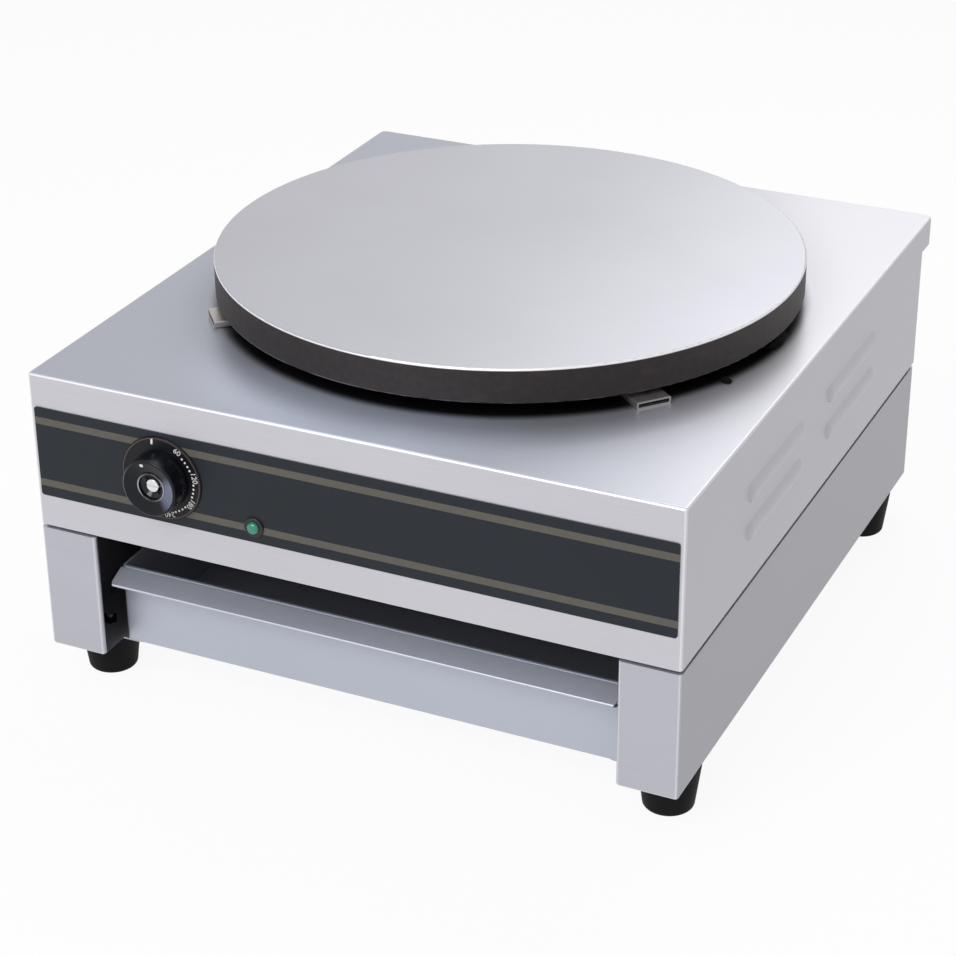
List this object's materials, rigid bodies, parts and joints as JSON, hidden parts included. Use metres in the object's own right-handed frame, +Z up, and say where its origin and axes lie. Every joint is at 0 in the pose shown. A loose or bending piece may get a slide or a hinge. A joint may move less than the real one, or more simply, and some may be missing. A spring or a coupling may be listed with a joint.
{
  "type": "electric crepe maker",
  "caption": "Countertop electric crepe maker: round griddle plate on a folded steel housing with a thermostat knob and pilot lamp, over an open base with a sliding drip tray.",
  "frame": {"origin": "centre of the footprint at the level the rubber feet stand on", "axes": "+Z up, +Y towards the back, +X to the right seen from the front"},
  "size_m": [0.4548, 0.5174, 0.265],
  "materials": {
    "base_steel": "fine horizontal brushing",
    "body_steel": "fine horizontal brushing",
    "bracket_steel": "plain bright sheet",
    "ceramic": "unglazed, cream",
    "clamp_steel": "heat-darkened sheet",
    "dial_print": "black with white print",
    "earth_brass": "turned",
    "element_sheath": "heat-darkened tube",
    "fastener_steel": "bright zinc",
    "foot_rubber": "moulded, matt",
    "gasket_rubber": "matt",
    "gland_plastic": "moulded nylon",
    "griddle_iron": "turned cooking face, dark cast rim",
    "insert_chrome": "bright plated",
    "knob_plastic": "moulded, semi-gloss",
    "lamp_collar": "moulded",
    "lamp_lens": "translucent green",
    "mineral_wool": "pressed fibre",
    "overlay_film": "satin dark film with pale stripes",
    "pan_aluminium": "dull sheet",
    "sensor_copper": "drawn copper",
    "switch_plastic": "moulded",
    "tray_steel": "bright rolled sheet",
    "wire_sleeve": "glass-fibre sleeve"
  },
  "bodies": {
    "chassis": {"base_rear_panel": "base_steel", "base_rear_screws": "fastener_steel", "base_side_left": "base_steel", "base_side_right": "base_steel", "cable_gland": "gland_plastic", "clamp_disc": "clamp_steel", "clamp_nut": "fastener_steel", "clamp_stud": "fastener_steel", "control_overlay": "overlay_film", "dial_plate": "dial_print", "earth_nuts": "earth_brass", "earth_stud": "earth_brass", "element_terminals": "ceramic", "floor_pan": "base_steel", "foot_front_left": "foot_rubber", "foot_front_right": "foot_rubber", "foot_nuts": "fastener_steel", "foot_rear_left": "foot_rubber", "foot_rear_right": "foot_rubber", "foot_screws": "fastener_steel", "gland_nut": "gland_plastic", "griddle_plate": "griddle_iron", "heating_element_inner": "element_sheath", "heating_element_outer": "element_sheath", "insulation_mat": "mineral_wool", "pilot_lamp_body": "lamp_collar", "pilot_lamp_lens": "lamp_lens", "plate_nuts": "fastener_steel", "plate_studs": "fastener_steel", "rear_panel": "base_steel", "rear_screws": "fastener_steel", "reflector_pan": "pan_aluminium", "seam_gasket": "gasket_rubber", "seam_nuts": "fastener_steel", "seam_screws": "fastener_steel", "sensor_tube": "sensor_copper", "support_bracket_front_left": "bracket_steel", "support_bracket_front_right": "bracket_steel", "support_bracket_rear_left": "bracket_steel", "support_bracket_rear_right": "bracket_steel", "terminal_block": "ceramic", "thermostat_body": "switch_plastic", "thermostat_plate": "bracket_steel", "thermostat_screws": "fastener_steel", "top_cover": "body_steel", "wiring": "wire_sleeve"},
    "knob": {"thermostat_knob": "knob_plastic", "knob_insert": "insert_chrome", "thermostat_shaft": "fastener_steel"},
    "tray": {"drip_tray": "tray_steel"}
  },
  "joints": [
    {"name": "knob_turn", "type": "hinge", "parent": "chassis", "child": "knob", "pos_m": [-0.128, -0.2433, 0.17825], "axis": [0, 1, 0], "range_deg": [0, 231]},
    {"name": "tray_slide", "type": "slide", "parent": "chassis", "child": "tray", "axis": [0, -1, 0], "range_m": [0, 0.4]}
  ]
}
